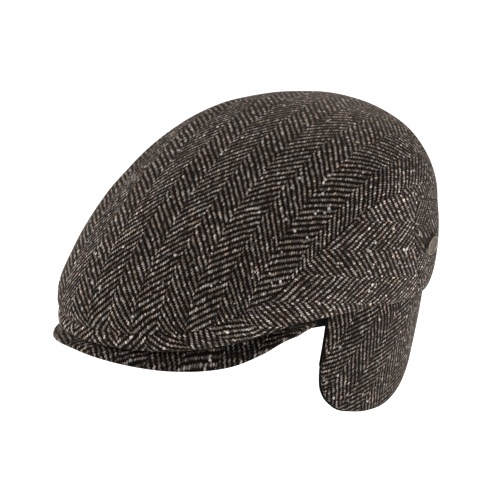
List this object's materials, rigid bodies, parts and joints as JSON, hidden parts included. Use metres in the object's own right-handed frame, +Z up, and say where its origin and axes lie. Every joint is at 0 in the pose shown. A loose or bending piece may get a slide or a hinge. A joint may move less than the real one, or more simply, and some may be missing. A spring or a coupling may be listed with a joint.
{
  "type": "flat cap",
  "caption": "Herringbone tweed flat cap with a short stiff peak and an ear flap folded down round ears and nape.",
  "frame": {"origin": "centre of the head opening, level with the crown's lower edge at the ears, where the cap sits on the head", "axes": "+Z up out of the crown, -Y to the front with the peak, +X to the wearer's left"},
  "size_m": [0.1904, 0.2772, 0.1933],
  "materials": {
    "top_panel": "herringbone tweed, matt",
    "side_panel_left": "herringbone tweed, matt",
    "side_panel_right": "herringbone tweed, matt",
    "back_panel": "herringbone tweed, matt",
    "peak": "herringbone tweed over a stiff board, matt",
    "inner_band": "black woven band, matt",
    "ear_flap": "herringbone tweed, matt",
    "flap_lining": "black lining, matt",
    "pin": "aged bronze, satin"
  },
  "bodies": {
    "root": {"top_panel": "top_panel", "side_panel_left": "side_panel_left", "side_panel_right": "side_panel_right", "back_panel": "back_panel", "peak": "peak", "inner_band": "inner_band", "ear_flap": "ear_flap", "flap_lining": "flap_lining", "pin": "pin"}
  },
  "joints": []
}
